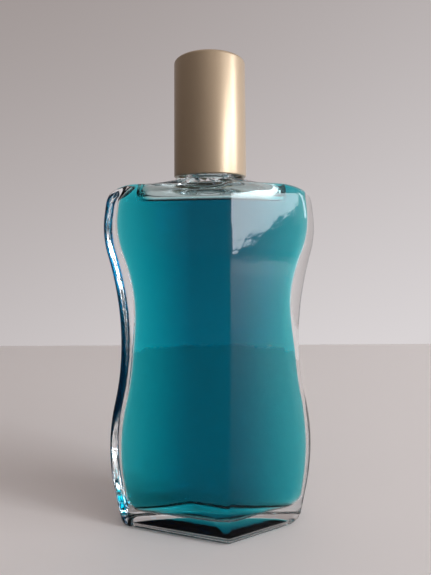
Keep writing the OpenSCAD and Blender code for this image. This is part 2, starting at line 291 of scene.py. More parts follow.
# The section's faces in order: long front panel, short front panel, side, and the same after half a turn
HALF_TURN_NORMALS = (-90 - LONG_FALL, -90 + SHORT_FALL, 0)
NORMALS = HALF_TURN_NORMALS + tuple(a + 180 for a in HALF_TURN_NORMALS) + (HALF_TURN_NORMALS[0] + 360,)
LONG_D = float(np.dot(RIDGE, polar(1, NORMALS[0])))
SHORT_D = float(np.dot(RIDGE, polar(1, NORMALS[1])))
CORNER_STEPS = (RIDGE_STEPS, EDGE_STEPS, EDGE_STEPS)
# Where the points between two corners lie: close to each corner first, so that the panels stay flat
PANEL_SPOTS = (0.03, 0.08, 0.2, 0.35, 0.5, 0.65, 0.8, 0.92, 0.97)
SIDE_SPOTS = (0.2, 0.5, 0.8)
FACE_SPOTS = (PANEL_SPOTS, SIDE_SPOTS, PANEL_SPOTS)


def meet(a1, d1, a2, d2):
    """Where two lines meet, each given by its normal's angle and its distance from the axis."""
    a, b = math.radians(a1), math.radians(a2)
    x = d1 * math.sin(b) - d2 * math.sin(a)
    y = d2 * math.cos(a) - d1 * math.cos(b)
    return np.array((x, y)) / math.sin(b - a)


def side_length(w, inset):
    """Length of a side face between the two panels beside it."""
    high = meet(NORMALS[2], w - inset, NORMALS[3], LONG_D - inset)
    low = meet(NORMALS[1], SHORT_D - inset, NORMALS[2], w - inset)
    return float(np.linalg.norm(high - low))


def section(w, inset, least=(LEAST_EDGE_R,) * 3):
    """The section's points at a half width, with every face moved inwards by an inset.

    The radii of the ridges, short edges and long edges shrink with the inset, down to the least ones.
    """
    d = (LONG_D, SHORT_D, w, LONG_D, SHORT_D, w, LONG_D)
    radii = [max(r - inset, least_r) for r, least_r in zip((RIDGE_R, SHORT_EDGE_R, LONG_EDGE_R), least)]
    turns = (90 - SHORT_FALL, 90 - LONG_FALL)
    taken = sum(r * math.tan(math.radians(turn) / 2) for r, turn in zip(radii[1:], turns))
    share = min(1, SIDE_FIT * side_length(w, inset) / taken)
    radii = (radii[0], radii[1] * share, radii[2] * share)
    corners = []
    for i in range(6):
        r = radii[i % 3]
        centre = meet(NORMALS[i], d[i] - inset - r, NORMALS[i + 1], d[i + 1] - inset - r)
        corners.append(arc(centre, r, NORMALS[i], NORMALS[i + 1], CORNER_STEPS[i % 3]))
    points = []
    for i, corner in enumerate(corners):
        start, end = corner[-1], corners[(i + 1) % 6][0]
        spots = np.array(FACE_SPOTS[i % 3])[:, None]
        points += [corner, start + (end - start) * spots]
    return np.concatenate(points)


def thinned(flat, w, z):
    """A section of the hollow, made thinner low down and along its short panels toward the sides."""
    near_side = (flat[:, 0] / w)**2
    low = LOW_THIN * max(0, 1 - z / FILL_Z) * np.maximum(0, 1 - near_side)
    on_short_panel = flat[:, 0] * flat[:, 1] < 0
    side = SHORT_PANEL_THIN * on_short_panel * near_side
    return np.column_stack((flat[:, 0], flat[:, 1] * (1 - low - side)))


def at_height(flat, z):
    """A ring of points at one height."""
    return np.column_stack((flat, np.full(len(flat), float(z))))


def outer_ring(z, inset):
    """A ring of the outside."""
    return at_height(section(half_w(z), inset), z)


def hollow_ring(z, inset):
    """A ring of the hollow, whose side walls are thickest on the flank above the waist."""
    near = min(1, abs(z - FLANK_Z) / FLANK_L)
    side_extra = SIDE_WALL - WALL + FLANK_EXTRA * math.cos(math.pi / 2 * near)**2
    w = half_w(z) - side_extra
    to_floor = max(0, 1 - (z - BASE_T) / FLOOR_RISE)
    ridge_r = HOLLOW_RIDGE_R + (FLOOR_RIDGE_R - HOLLOW_RIDGE_R) * to_floor
    flat = section(w, inset, (ridge_r, HOLLOW_EDGE_R, HOLLOW_EDGE_R))
    return at_height(thinned(flat, w - inset, z), z)


def circle(r, z, angles):
    """A ring on a circle round the neck axis."""
    return at_height(polar(r, angles), z)


QUARTER = np.radians(np.linspace(0, 90, ROUND_STEPS + 1))


def bottom_rings(make, z, inset, across, rise):
    """Rings that round a bottom edge, from the flat up."""
    return [make(z + rise * (1 - math.cos(a)), inset + across * (1 - math.sin(a))) for a in QUARTER]


def wall_rings(make, low_z, high_z, inset):
    """Rings of a waved wall between two heights."""
    return [make(z, inset) for z in OUTLINE[:, 1] if low_z + RING_GAP < z < high_z - RING_GAP]


def top_rings(make, z, inset, r):
    """Rings that round a top edge, up to the flat."""
    return [make(z - r + r * math.sin(a), inset + r * (1 - math.cos(a))) for a in QUARTER]


def ceiling_inset(z):
    """How far the hollow's wall stands inside the outline at a height in the ceiling's rounding."""
    up = min(1, max(0, (z - CEILING_Z) / CEILING_R + 1))
    return WALL + CEILING_R * (1 - math.sqrt(1 - up * up))


def bubble_ring(inset, bulge, z):
    """A ring of the air space: along the panels at an inset, and bulged at its two ends."""
    flat = section(BUBBLE_HALF_L + inset + bulge, inset, (HOLLOW_RIDGE_R, BUBBLE_R, BUBBLE_R))
    hollow_w = half_w(z) - SIDE_WALL + WALL - ceiling_inset(z)
    return at_height(thinned(flat, hollow_w, z), z)


def even_angles(flat):
    """Even angles round the axis, turned so that they lie as near as they can to a section's points."""
    own = np.degrees(np.unwrap(np.arctan2(flat[:, 1], flat[:, 0])))
    even = np.arange(len(flat)) * 360 / len(flat)
    return even + np.mean(own - even)


NECK_ANGLES = even_angles(section(half_w(BODY_H), SHOULDER_R))


def blend_rings(first, last, rises):
    """Rings between two rings, whose height follows a list of shares that may differ from their place."""
    steps = len(rises)
    rings = []
    for k, rise in enumerate(rises, 1):
        t = k / (steps + 1)
        between = first + (last - first) * t
        between[:, 2] = first[:, 2] + (last[:, 2] - first[:, 2]) * rise
        rings.append(between)
    return rings


def toward_axis(flat_ring, shares, heights):
    """Rings that shrink a ring toward the axis, each at its own height."""
    return [at_height(flat_ring[:, :2] * share, z) for share, z in zip(shares, heights)]


# ---------------------------------------------------------------- meshes

def mesh_object(name, points, faces, materials):
    """A smooth-shaded object from points in millimetres."""
    mesh = bpy.data.meshes.new(name)
    mesh.from_pydata((np.asarray(points) * MM).tolist(), [], faces)
    for material in materials:
        mesh.materials.append(material)
    mesh.polygons.foreach_set("use_smooth", [True] * len(mesh.polygons))
    mesh.update()
    made = bpy.data.objects.new(name, mesh)
    bpy.context.scene.collection.objects.link(made)
    return made


def skin(rings, closed=False):
    """Points and faces of a surface through rings of equal length, or poles of one point.

    The rings run counter-clockwise seen from above, and the path through them runs up the outside,
    so that the faces point outwards. A closed path joins its last ring to its first.
    """
    rings = [np.atleast_2d(r) for r in rings]
    starts = np.cumsum([0] + [len(r) for r in rings])
    pairs = [(k, k + 1) for k in range(len(rings) - 1)]
    if closed:
        pairs.append((len(rings) - 1, 0))
    faces = []
    row_of_face = []
    for k, m in pairs:
        n = max(len(rings[k]), len(rings[m]))
        for i in range(n):
            j = (i + 1) % n
            low = [starts[k] + i, starts[k] + j] if len(rings[k]) > 1 else [starts[k]]
            high = [starts[m] + j, starts[m] + i] if len(rings[m]) > 1 else [starts[m]]
            faces.append([int(v) for v in low + high])
            row_of_face.append(k)
    return np.concatenate(rings), faces, row_of_face


def lathe(name, profile, materials, closed=False):
    """A turned piece from (radius, height) points; a point on the axis becomes a pole."""
    angles = np.arange(LATHE_POINTS) * 360 / LATHE_POINTS
    rings = [circle(r, z, angles) if r > 0 else np.array((0, 0, z)) for r, z in profile]
    points, faces, _ = skin(rings, closed)
    return mesh_object(name, points, faces, materials)


def rounded_profile(corners, radii):
    """Profile points with some corners rounded."""
    return [tuple(p) for p in rounded_path(corners, radii, SMALL_ROUND_STEPS, 1)] + [tuple(corners[-1])]


def round_edge(x, z, r, start, end, steps=SMALL_ROUND_STEPS):
    """Profile points that round an edge by a radius about a centre, between two angles."""
    return arc((x, z), r, start, end, steps).tolist()


# ---------------------------------------------------------------- materials

def linear(code):
    """A linear colour, with alpha, from an sRGB hex code such as #C0FFEE."""
    values = [int(code[i:i + 2], 16) / 255 for i in (1, 3, 5)]
    return [v / 12.92 if v <= 0.04045 else ((v + 0.055) / 1.055) ** 2.4 for v in values] + [1.0]


def add(tree, kind, inputs=None, **settings):
    """Add a node with its settings. An input is a value, a socket, or a node's first output."""
    made = tree.nodes.new(kind)
    for name, value in settings.items():
        setattr(made, name, value)
    for key, value in (inputs or {}).items():
        if isinstance(value, bpy.types.Node):
            value = value.outputs[0]
        if isinstance(value, bpy.types.NodeSocket):
            tree.links.new(value, made.inputs[key])
        else:
            made.inputs[key].default_value = value
    return made


# A Mix node's sockets by number, because its number, vector and colour sockets share their names
MIX_FACTOR = 0
MIX_NUMBERS = (2, 3)
MIX_COLOURS = (6, 7)
MIX_COLOUR_OUT = 2


def new_material(name):
    """An empty material's node tree, with its output node."""
    material = bpy.data.materials.new(name)
    material.use_nodes = True
    tree = material.node_tree
    tree.nodes.clear()
    return material, tree, add(tree, "ShaderNodeOutputMaterial")


def per_mm(size):
    """Noise scale, per metre, for features of a size in millimetres."""
    return 1 / (size * MM)


GLASS_IOR = 1.52
LOTION_IOR = 1.36
# The glass's ripple as size and height: waves outside, wider ones inside, and a fine orange peel on both
OUTER_WAVE = (6.0, 0.05)
INNER_WAVE = (9.0, 0.1)
PEEL = (1.0, 0.012)
# The lotion's absorption, per metre
LOTION_DENSITY = 465.0
# The lacquer's turned lines and metal flake; the flake is drawn coarser than it is, so that it shows
TURNED_LINE_MM = 0.5
TURNED_LINE_DEPTH = 0.01
FLAKE_MM = 0.25
PLASTIC_GRAIN_DEPTH = 0.02
PLASTIC_SCATTER_MM = 1.5


def flint_glass(name, ior, wave):
    """Clear soda-lime flint glass, pressed and fire polished: colourless, with a faint ripple."""
    material, tree, out = new_material(name)
    place = add(tree, "ShaderNodeTexCoord").outputs["Object"]
    relief = None
    for size, height in (wave, PEEL):
        bumps = add(tree, "ShaderNodeTexNoise", {"Vector": place, "Scale": per_mm(size), "Detail": 1.0})
        above = {"Normal": relief} if relief else {}
        relief = add(tree, "ShaderNodeBump", {
            "Height": bumps, "Strength": 1.0, "Distance": height * MM, **above,
        })
    shader = add(tree, "ShaderNodeBsdfPrincipled", {
        "Base Color": linear("#FFFFFF"), "Roughness": 0.0, "IOR": ior,
        "Transmission Weight": 1.0, "Normal": relief,
    })
    tree.links.new(shader.outputs[0], out.inputs["Surface"])
    return material


def teal_lotion():
    """Clear teal lotion of alcohol and water, whose colour deepens with depth.

    Only its free top bends light: its walls wet the glass, and the glass holds that boundary.
    """
    material, tree, out = new_material("teal_lotion")
    top = add(tree, "ShaderNodeAttribute", attribute_name="free_surface").outputs["Fac"]
    ior = add(tree, "ShaderNodeMapRange", {"Value": top, "To Min": 1.0, "To Max": LOTION_IOR})
    shader = add(tree, "ShaderNodeBsdfPrincipled", {
        "Base Color": linear("#FFFFFF"), "Roughness": 0.0, "IOR": ior, "Transmission Weight": 1.0,
    })
    depth = add(tree, "ShaderNodeVolumeAbsorption", {"Color": linear("#00ECF1"), "Density": LOTION_DENSITY})
    tree.links.new(shader.outputs[0], out.inputs["Surface"])
    tree.links.new(depth.outputs[0], out.inputs["Volume"])
    return material


def champagne_lacquer():
    """Satin metallic lacquer sprayed on a moulded cap: fine lines round it, and a speckle of flake."""
    material, tree, out = new_material("champagne_lacquer")
    place = add(tree, "ShaderNodeTexCoord").outputs["Object"]
    height = add(tree, "ShaderNodeSeparateXYZ", {"Vector": place}).outputs["Z"]
    along = add(tree, "ShaderNodeCombineXYZ", {"Z": height})
    lines = add(tree, "ShaderNodeTexNoise", {
        "Vector": along, "Scale": per_mm(TURNED_LINE_MM), "Detail": 4.0,
    })
    flake = add(tree, "ShaderNodeTexNoise", {"Vector": place, "Scale": per_mm(FLAKE_MM), "Detail": 2.0})
    tone = add(tree, "ShaderNodeMapRange", {"Value": flake, "To Min": 0.94, "To Max": 1.06})
    colour = add(tree, "ShaderNodeMix", {
        MIX_FACTOR: 1.0, MIX_COLOURS[0]: linear("#CBB496"), MIX_COLOURS[1]: tone,
    }, data_type="RGBA", blend_type="MULTIPLY")
    relief = add(tree, "ShaderNodeBump", {
        "Height": lines, "Strength": 0.5, "Distance": TURNED_LINE_DEPTH * MM,
    })
    rough = add(tree, "ShaderNodeMapRange", {"Value": lines, "To Min": 0.3, "To Max": 0.42})
    shader = add(tree, "ShaderNodeBsdfPrincipled", {
        "Base Color": colour.outputs[MIX_COLOUR_OUT], "Metallic": 0.65, "Roughness": rough,
        "Normal": relief, "Coat Weight": 0.8, "Coat Roughness": 0.3,
    })
    tree.links.new(shader.outputs[0], out.inputs["Surface"])
    return material


def moulded_plastic(name, code, roughness, scatter, grain_mm):
    """Natural moulded plastic: a little light soaks in, and the tool's grain shows as a soft sheen."""
    material, tree, out = new_material(name)
    place = add(tree, "ShaderNodeTexCoord").outputs["Object"]
    grain = add(tree, "ShaderNodeTexNoise", {"Vector": place, "Scale": per_mm(grain_mm), "Detail": 3.0})
    relief = add(tree, "ShaderNodeBump", {
        "Height": grain, "Strength": 0.4, "Distance": PLASTIC_GRAIN_DEPTH * MM,
    })
    rough = add(tree, "ShaderNodeMapRange", {
        "Value": grain, "To Min": roughness - 0.06, "To Max": roughness + 0.06,
    })
    shader = add(tree, "ShaderNodeBsdfPrincipled", {
        "Base Color": linear(code), "Roughness": rough, "Normal": relief, "IOR": 1.5,
        "Subsurface Weight": scatter, "Subsurface Scale": PLASTIC_SCATTER_MM * MM,
    })
    tree.links.new(shader.outputs[0], out.inputs["Surface"])
    return material


# ---------------------------------------------------------------- Geometry Nodes

def geometry_tree(name, inputs):
    """A Geometry Nodes tree with named inputs, its input node and its output node."""
    tree = bpy.data.node_groups.new(name, "GeometryNodeTree")
    tree.interface.new_socket("Geometry", in_out="INPUT", socket_type="NodeSocketGeometry")
    for label, kind in inputs.items():
        tree.interface.new_socket(label, in_out="INPUT", socket_type=kind)
    tree.interface.new_socket("Geometry", in_out="OUTPUT", socket_type="NodeSocketGeometry")
    return tree, add(tree, "NodeGroupInput"), add(tree, "NodeGroupOutput")


THREAD_INPUTS = {
    "Wall Radius": "NodeSocketFloat", "Reach": "NodeSocketFloat", "Pitch": "NodeSocketFloat",
    "Start Height": "NodeSocketFloat", "Turns": "NodeSocketFloat", "Root Width": "NodeSocketFloat",
    "Crest Width": "NodeSocketFloat", "Fade Turns": "NodeSocketFloat", "Near Wall": "NodeSocketFloat",
    "Material": "NodeSocketMaterial", "Wetted Material": "NodeSocketMaterial",
}


def thread_tree():
    """Pushes a round wall out, or in where Reach is negative, into a helical thread of trapezoid section."""
    tree, given, out = geometry_tree("helical_thread", THREAD_INPUTS)
    size = given.outputs
    # Each point's radius, and its angle and height counted in turns of the thread
    place = add(tree, "GeometryNodeInputPosition")
    x, y, z = add(tree, "ShaderNodeSeparateXYZ", {0: place}).outputs
    flat = add(tree, "ShaderNodeCombineXYZ", {0: x, 1: y})
    radius = add(tree, "ShaderNodeVectorMath", {0: flat}, operation="LENGTH").outputs["Value"]
    outward = add(tree, "ShaderNodeVectorMath", {0: flat}, operation="NORMALIZE")
    angle = add(tree, "ShaderNodeMath", {0: y, 1: x}, operation="ARCTAN2")
    signed = add(tree, "ShaderNodeMath", {0: angle, 1: math.tau}, operation="DIVIDE")
    around = add(tree, "ShaderNodeMath", {0: signed, 1: 1.0}, operation="FLOORED_MODULO")
    above = add(tree, "ShaderNodeMath", {0: z, 1: size["Start Height"]}, operation="SUBTRACT")
    height = add(tree, "ShaderNodeMath", {0: above, 1: size["Pitch"]}, operation="DIVIDE")
    # The nearest point of the helix, and how far the point lies above or below it
    over = add(tree, "ShaderNodeMath", {0: height, 1: around}, operation="SUBTRACT")
    turn = add(tree, "ShaderNodeMath", {0: over}, operation="ROUND")
    along = add(tree, "ShaderNodeMath", {0: turn, 1: around}, operation="ADD")
    off = add(tree, "ShaderNodeMath", {0: height, 1: along}, operation="SUBTRACT")
    distance = add(tree, "ShaderNodeMath", {0: off}, operation="ABSOLUTE")
    away = add(tree, "ShaderNodeMath", {0: distance, 1: size["Pitch"]}, operation="MULTIPLY")
    # The thread's section, and its fading ends
    half_root = add(tree, "ShaderNodeMath", {0: size["Root Width"], 1: 0.5}, operation="MULTIPLY")
    half_crest = add(tree, "ShaderNodeMath", {0: size["Crest Width"], 1: 0.5}, operation="MULTIPLY")
    flank = add(tree, "ShaderNodeMapRange", {
        "Value": away, "From Min": half_root, "From Max": half_crest, "To Min": 0.0, "To Max": 1.0,
    }, interpolation_type="SMOOTHSTEP")
    left = add(tree, "ShaderNodeMath", {0: size["Turns"], 1: along}, operation="SUBTRACT")
    to_end = add(tree, "ShaderNodeMath", {0: along, 1: left}, operation="MINIMUM")
    fade = add(tree, "ShaderNodeMapRange", {
        "Value": to_end, "From Min": 0.0, "From Max": size["Fade Turns"], "To Min": 0.0, "To Max": 1.0,
    }, interpolation_type="SMOOTHSTEP")
    share = add(tree, "ShaderNodeMath", {0: flank, 1: fade}, operation="MULTIPLY")
    lift = add(tree, "ShaderNodeMath", {0: share, 1: size["Reach"]}, operation="MULTIPLY")
    shift = add(tree, "ShaderNodeVectorMath", {0: outward, "Scale": lift}, operation="SCALE")
    # Only the wall that carries the thread moves
    step = add(tree, "ShaderNodeMath", {0: radius, 1: size["Wall Radius"]}, operation="SUBTRACT")
    apart = add(tree, "ShaderNodeMath", {0: step}, operation="ABSOLUTE")
    on_wall = add(tree, "FunctionNodeCompare", {0: apart, 1: size["Near Wall"]},
                  data_type="FLOAT", operation="LESS_THAN")
    moved = add(tree, "GeometryNodeSetPosition", {
        "Geometry": size["Geometry"], "Selection": on_wall, "Offset": shift,
    })
    solid = add(tree, "GeometryNodeRealizeInstances", {"Geometry": moved})
    dressed = add(tree, "GeometryNodeSetMaterial", {"Geometry": solid, "Material": size["Material"]})
    wetted = add(tree, "GeometryNodeInputNamedAttribute", {"Name": "wetted"}, data_type="BOOLEAN")
    finished = add(tree, "GeometryNodeSetMaterial", {
        "Geometry": dressed, "Selection": wetted, "Material": size["Wetted Material"],
    })
    tree.links.new(finished.outputs[0], out.inputs[0])
    return tree


RIB_INPUTS = {
    "Count": "NodeSocketInt", "Radius": "NodeSocketFloat", "Width": "NodeSocketFloat",
    "Depth": "NodeSocketFloat", "Height": "NodeSocketFloat", "Middle Height": "NodeSocketFloat",
    "Material": "NodeSocketMaterial",
}


def rib_tree():
    """Sets upright ribs evenly round a circle and joins them to the piece that carries them."""
    tree, given, out = geometry_tree("drive_ribs", RIB_INPUTS)
    size = given.outputs
    block = add(tree, "ShaderNodeCombineXYZ", {0: size["Depth"], 1: size["Width"], 2: size["Height"]})
    rib = add(tree, "GeometryNodeMeshCube", {"Size": block})
    ring = add(tree, "GeometryNodeMeshCircle", {"Vertices": size["Count"], "Radius": size["Radius"]})
    height = add(tree, "ShaderNodeCombineXYZ", {2: size["Middle Height"]})
    places = add(tree, "GeometryNodeSetPosition", {"Geometry": ring, "Offset": height})
    step = add(tree, "ShaderNodeMath", {0: math.tau, 1: size["Count"]}, operation="DIVIDE")
    index = add(tree, "GeometryNodeInputIndex")
    angle = add(tree, "ShaderNodeMath", {0: index, 1: step}, operation="MULTIPLY")
    turn = add(tree, "ShaderNodeCombineXYZ", {2: angle})
    ribs = add(tree, "GeometryNodeInstanceOnPoints", {"Points": places, "Instance": rib, "Rotation": turn})
    both = add(tree, "GeometryNodeJoinGeometry", {0: size["Geometry"]})
    tree.links.new(ribs.outputs[0], both.inputs[0])
    solid = add(tree, "GeometryNodeRealizeInstances", {"Geometry": both})
    dressed = add(tree, "GeometryNodeSetMaterial", {"Geometry": solid, "Material": size["Material"]})
    tree.links.new(dressed.outputs[0], out.inputs[0])
    return tree


def realize(made, tree, values):
    """Run a Geometry Nodes tree on an object and keep its result as a plain mesh."""
    modifier = made.modifiers.new(tree.name, "NODES")
    modifier.node_group = tree
    sockets = {item.name: item.identifier for item in tree.interface.items_tree if item.in_out == "INPUT"}
    for label, value in values.items():
        modifier[sockets[label]] = value
    bpy.context.view_layer.update()
    graph = bpy.context.evaluated_depsgraph_get()
    done = made.evaluated_get(graph)
    mesh = bpy.data.meshes.new_from_object(done, preserve_all_data_layers=True, depsgraph=graph)
    made.modifiers.clear()
    old = made.data
    made.data = mesh
    bpy.data.meshes.remove(old)
    mesh.name = made.name
    return made


# ---------------------------------------------------------------- the pieces

def hollow_rings(inset):
    """Rings of the hollow from its floor up to the end of its ceiling's rounding."""
    gap = inset - WALL
    low = bottom_rings(hollow_ring, BASE_T + gap, inset, FLOOR_IN, FLOOR_RISE)
    wall = wall_rings(hollow_ring, BASE_T + FLOOR_RISE, CEILING_Z - CEILING_R, inset)
    return low + wall + top_rings(hollow_ring, CEILING_Z - gap, inset, CEILING_R)


def glass_bottle(outer, wetted, thread):
    """The glass: outside, neck, lip, bore and hollow in one closed skin."""
    stand = HEEL_R + BEARING_W
    push = at_height(section(half_w(PUSH_UP), stand + PUSH_RUN), PUSH_UP)
    rest = outer_ring(0, stand)
    under = [np.array((0, 0, PUSH_UP + PUSH_DOME))]
    under += toward_axis(push, DOME_SHARES, [PUSH_UP + PUSH_DOME * (1 - share**2) for share in DOME_SHARES])
    under += [push, *blend_rings(push, rest, STEEP_FALL), rest]
    under += bottom_rings(outer_ring, 0, 0, HEEL_R, HEEL_R)
    wall = wall_rings(outer_ring, HEEL_R, BODY_H - SHOULDER_R, 0)
    shoulder = top_rings(outer_ring, BODY_H, 0, SHOULDER_R)
    root = circle(NECK_R + NECK_ROOT_R, ROOT_Z + DOME_RISE, NECK_ANGLES)
    shares = np.linspace(0, 1, CROWN_STEPS + 1)[1:]
    crown = blend_rings(shoulder[-1], root, shares**DOME_POWER)
    fillet = arc((NECK_R + NECK_ROOT_R, ROOT_Z + NECK_ROOT_R), NECK_ROOT_R, -90, -180, ROUND_STEPS)
    fillet[:, 1] += DOME_RISE * (ROOT_Z + NECK_ROOT_R - fillet[:, 1]) / NECK_ROOT_R
    bead = [
        (NECK_R + BEAD_OUT * math.cos(a), BEAD_LOW_Z + BEAD_H / 2 * (1 + math.sin(a)))
        for a in np.radians(np.linspace(-90, 90, BEAD_STEPS + 1))
    ]
    straight = [(NECK_R, z) for z in np.linspace(BEAD_LOW_Z + BEAD_H, LIP_Z - LIP_R, NECK_RINGS + 2)[1:-1]]
    lip_out = arc((NECK_R - LIP_R, LIP_Z - LIP_R), LIP_R, 0, 90, ROUND_STEPS)
    lip_in = arc((BORE_R + LIP_R / 2, LIP_Z - LIP_R / 2), LIP_R / 2, 90, 180, SMALL_ROUND_STEPS)
    neck = [circle(r, z, NECK_ANGLES) for r, z in [*fillet, *bead, *straight, *lip_out, *lip_in]]
    funnel_z = CEILING_Z + CROWN_RISE
    mouth = arc((BORE_R + FUNNEL_R, funnel_z + FUNNEL_R), FUNNEL_R, 180, 270, ROUND_STEPS)
    bore = [(BORE_R, z) for z in np.linspace(LIP_Z - LIP_R / 2, funnel_z + FUNNEL_R, BORE_RINGS + 2)[1:-1]]
    bore = [circle(r, z, NECK_ANGLES) for r, z in [*bore, *mouth]]
    contact = bubble_ring(BUBBLE_INSET, 0, CEILING_Z)
    funnel = blend_rings(bore[-1], contact, np.sqrt(shares[:-1]))
    down = [contact, *hollow_rings(WALL)[::-1]]
    floor = toward_axis(down[-1], DISC_SHARES[::-1], [BASE_T] * len(DISC_SHARES))
    floor.append(np.array((0, 0, BASE_T)))
    rings = under + wall + shoulder + crown + neck + bore + funnel + down + floor
    points, faces, rows = skin(rings)
    first_wet = len(rings) - len(down) - len(floor)
    made = mesh_object("glass_bottle_body", points, faces, [outer, wetted])
    wet = made.data.attributes.new("wetted", "BOOLEAN", "FACE")
    wet.data.foreach_set("value", [row >= first_wet for row in rows])
    return realize(made, thread, {
        "Material": outer, "Wetted Material": wetted, "Wall Radius": NECK_R * MM, "Reach": THREAD_OUT * MM,
        "Pitch": PITCH * MM, "Start Height": THREAD_Z * MM, "Turns": THREAD_TURNS,
        "Root Width": THREAD_ROOT_W * MM, "Crest Width": THREAD_CREST_W * MM,
        "Fade Turns": THREAD_FADE, "Near Wall": THREAD_REACH * MM,
    })


def lotion_body(material):
    """The lotion: the hollow's own form just inside the glass, up to the bubble's rim and level floor."""
    sides = hollow_rings(WALL + LOTION_GAP)
    low_z = BASE_T + LOTION_GAP
    floor = [np.array((0, 0, low_z)), *toward_axis(sides[0], DISC_SHARES, [low_z] * len(DISC_SHARES))]
    top_z = CEILING_Z - LOTION_GAP
    middle = (top_z + FILL_Z) / 2
    rim = [bubble_ring(BUBBLE_INSET, 0, top_z)]
    for a in np.radians(np.linspace(BUBBLE_TOP_ANGLE, -90, RIM_STEPS + 1)):
        z = middle + (top_z - middle) * math.sin(a)
        low = max(0, 1 - (z - FILL_Z) / MENISCUS_R)
        turned = MENISCUS_R * (1 - math.sqrt(1 - low * low))
        bulge = BUBBLE_BULGE * math.cos(a)**BUBBLE_BULGE_POWER
        rim.append(bubble_ring(ceiling_inset(z) + BUBBLE_FILM + turned, bulge, z))
    level_z = FILL_Z - MENISCUS_DIP
    level = [bubble_ring(WALL + BUBBLE_FILM + MENISCUS_R + d, 0, level_z) for d in (1, 2)]
    level += toward_axis(level[-1], LEVEL_SHARES, [level_z] * len(LEVEL_SHARES))
    level.append(np.array((0, 0, level_z)))
    points, faces, rows = skin(floor + sides + rim + level)
    made = mesh_object("lotion_fill", points, faces, [material])
    free = made.data.attributes.new("free_surface", "FLOAT", "FACE")
    first_free = len(floor) + len(sides)
    free.data.foreach_set("value", [float(row >= first_free) for row in rows])
    return made


def cap_shell(material):
    """The tall outer cap: a slight taper outside and a ledge inside for the insert."""
    top_r = CAP_R - (CAP_H - CAP_EDGE_R) * math.tan(math.radians(CAP_DRAFT))
    roof_z = CAP_TOP_Z - CAP_ROOF_T
    ledge_r = CAP_BORE_R - LEDGE_W
    corners = [
        (0, roof_z), (top_r - CAP_WALL, roof_z), (ledge_r, INSERT_TOP_Z), (CAP_BORE_R, INSERT_TOP_Z),
        (CAP_BORE_R, CAP_LOW_Z + MOUTH_BEVEL), (CAP_BORE_R + MOUTH_BEVEL, CAP_LOW_Z), (CAP_R, CAP_LOW_Z),
        (top_r, CAP_TOP_Z), (0, CAP_TOP_Z),
    ]
    radii = (0, CAP_ROOF_R, SHARP_R, SHARP_R, CAP_MOUTH_R, SHARP_R, CAP_LOW_EDGE_R, CAP_EDGE_R, 0)
    return lathe("cap_shell_lacquered", rounded_profile(corners, radii), [material])


def cap_insert(material, thread, ribs):
    """The threaded insert, with its drive ribs."""
    low_r, top_r = INSERT_LOW_EDGE_R, INSERT_EDGE_R
    bore_heights = np.linspace(LINER_TOP_Z - SHARP_R, INSERT_LOW_Z + MOUTH_BEVEL, INSERT_RINGS)
    profile = [(0, LINER_TOP_Z), (INSERT_BORE_R - SHARP_R, LINER_TOP_Z)]
    profile += [(INSERT_BORE_R, z) for z in bore_heights]
    profile += [(INSERT_BORE_R + MOUTH_BEVEL, INSERT_LOW_Z)]
    profile += round_edge(INSERT_R - low_r, INSERT_LOW_Z + low_r, low_r, -90, 0, TINY_ROUND_STEPS)
    profile += round_edge(INSERT_R - top_r, INSERT_TOP_Z - top_r, top_r, 0, 90, TINY_ROUND_STEPS)
    profile += [(0, INSERT_TOP_Z)]
    made = lathe("cap_insert_moulded", profile, [material])
    realize(made, thread, {
        "Material": material, "Wetted Material": material, "Wall Radius": INSERT_BORE_R * MM,
        "Reach": (NECK_R + THREAD_GAP - INSERT_BORE_R) * MM, "Pitch": PITCH * MM,
        "Start Height": CAP_THREAD_Z * MM, "Turns": CAP_THREAD_TURNS, "Root Width": CAP_THREAD_ROOT_W * MM,
        "Crest Width": CAP_THREAD_CREST_W * MM, "Fade Turns": THREAD_FADE, "Near Wall": THREAD_REACH * MM,
    })
    return realize(made, ribs, {
        "Material": material, "Count": DRIVE_RIBS, "Radius": INSERT_R * MM, "Width": DRIVE_RIB_W * MM,
        "Depth": 2 * DRIVE_RIB_OUT * MM, "Height": (INSERT_TOP_Z - INSERT_LOW_Z - 2 * DRIVE_RIB_END) * MM,
        "Middle Height": (INSERT_TOP_Z + INSERT_LOW_Z) / 2 * MM,
    })


def pour_plug(material):
    """The plug: a flange on the lip, a well, a floor with the pouring hole and beads that grip the bore."""
    low_z = LIP_Z - PLUG_L
    well_z = low_z + PLUG_FLOOR_T
    profile = [(ORIFICE_R, well_z - SHARP_R), (ORIFICE_R, low_z + SHARP_R), (ORIFICE_R + SHARP_R, low_z)]
    profile += round_edge(PLUG_R - PLUG_TIP_R, low_z + PLUG_TIP_R, PLUG_TIP_R, -90, 0)
    step = PLUG_L / (PLUG_BEADS + 1)
    for k in range(1, PLUG_BEADS + 1):
        for a in np.radians(np.linspace(-90, 90, PLUG_BEAD_STEPS + 1)):
            bead_z = low_z + k * step + PLUG_BEAD_HALF_H * math.sin(a)
            profile.append((PLUG_R + PLUG_BEAD_OUT * math.cos(a), bead_z))
    profile += [(PLUG_R, LIP_Z - LIP_CLEAR), (FLANGE_R - SHARP_R, LIP_Z)]
    profile += round_edge(FLANGE_R - FLANGE_EDGE_R, FLANGE_TOP_Z - FLANGE_EDGE_R, FLANGE_EDGE_R, 0, 90)
    profile += round_edge(WELL_R + WELL_MOUTH_R, FLANGE_TOP_Z - WELL_MOUTH_R, WELL_MOUTH_R, 90, 180)
    profile += round_edge(WELL_R - WELL_FLOOR_R, well_z + WELL_FLOOR_R, WELL_FLOOR_R, 0, -90)
    profile += [(ORIFICE_R + SHARP_R, well_z)]
    return lathe("pour_plug_moulded", profile, [material], closed=True)


